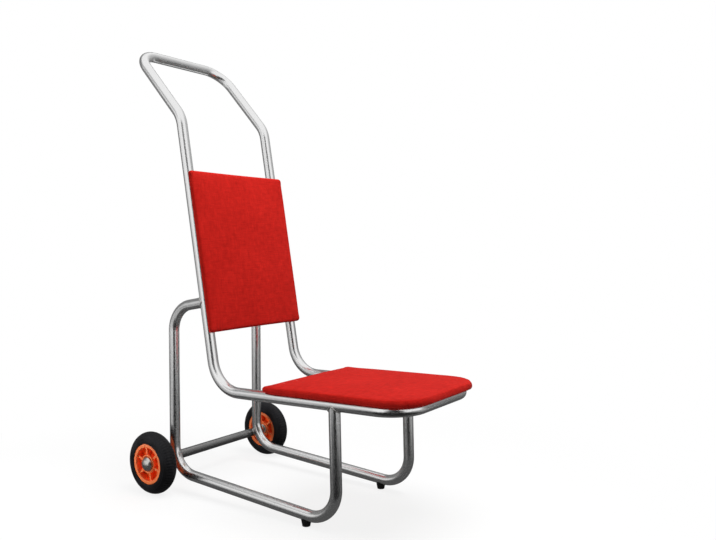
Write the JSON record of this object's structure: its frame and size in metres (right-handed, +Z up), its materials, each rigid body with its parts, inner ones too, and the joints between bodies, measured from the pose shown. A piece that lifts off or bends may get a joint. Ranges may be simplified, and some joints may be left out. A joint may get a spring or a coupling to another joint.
{
  "type": "stacking chair trolley",
  "caption": "Two-wheeled trolley for a stack of banquet chairs: a chair-shaped bent tube frame with red pads, a tilting handle, rear wheels and front feet.",
  "frame": {"origin": "on the floor, at the middle of the footprint", "axes": "+X towards the front of the seat, +Y to the left, along the axle, +Z up"},
  "size_m": [0.8304, 0.4586, 1.0975],
  "materials": {
    "frame_steel": "satin",
    "fixing_steel": "zinc plated",
    "bright_cap": "polished",
    "tyre_rubber": "matt",
    "foot_rubber": "matt",
    "orange_plastic": "moulded",
    "nylon": "moulded",
    "red_fabric": "woven",
    "foam": "open cell foam",
    "plywood": "raw"
  },
  "bodies": {
    "frame": {"back_hoop": "frame_steel", "seat_hoop": "frame_steel", "hoop_spigots": "frame_steel", "side_frame_left": "frame_steel", "side_frame_right": "frame_steel", "cross_tube": "frame_steel", "axle_rod": "fixing_steel", "axle_plugs": "nylon", "wheel_spacers": "fixing_steel", "axle_washers": "fixing_steel", "axle_caps": "bright_cap", "foot_left": "foot_rubber", "foot_right": "foot_rubber", "foot_screws": "fixing_steel", "seat_board": "plywood", "seat_foam": "foam", "seat_cover": "red_fabric", "seat_tabs": "frame_steel", "seat_screws": "fixing_steel", "seat_tee_nuts": "fixing_steel", "back_board": "plywood", "back_foam": "foam", "back_cover": "red_fabric", "back_tabs": "frame_steel", "back_screws": "fixing_steel", "back_tee_nuts": "fixing_steel"},
    "wheel_left": {"tyre_left": "tyre_rubber", "hub_left": "orange_plastic", "bushes_left": "nylon"},
    "wheel_right": {"tyre_right": "tyre_rubber", "hub_right": "orange_plastic", "bushes_right": "nylon"}
  },
  "joints": [
    {"name": "wheel_left_spin", "type": "hinge", "parent": "frame", "child": "wheel_left", "pos_m": [-0.28895, 0.2015, 0.075], "axis": [0, 1, 0], "continuous": true},
    {"name": "wheel_right_spin", "type": "hinge", "parent": "frame", "child": "wheel_right", "pos_m": [-0.28895, -0.2015, 0.075], "axis": [0, 1, 0], "continuous": true}
  ]
}
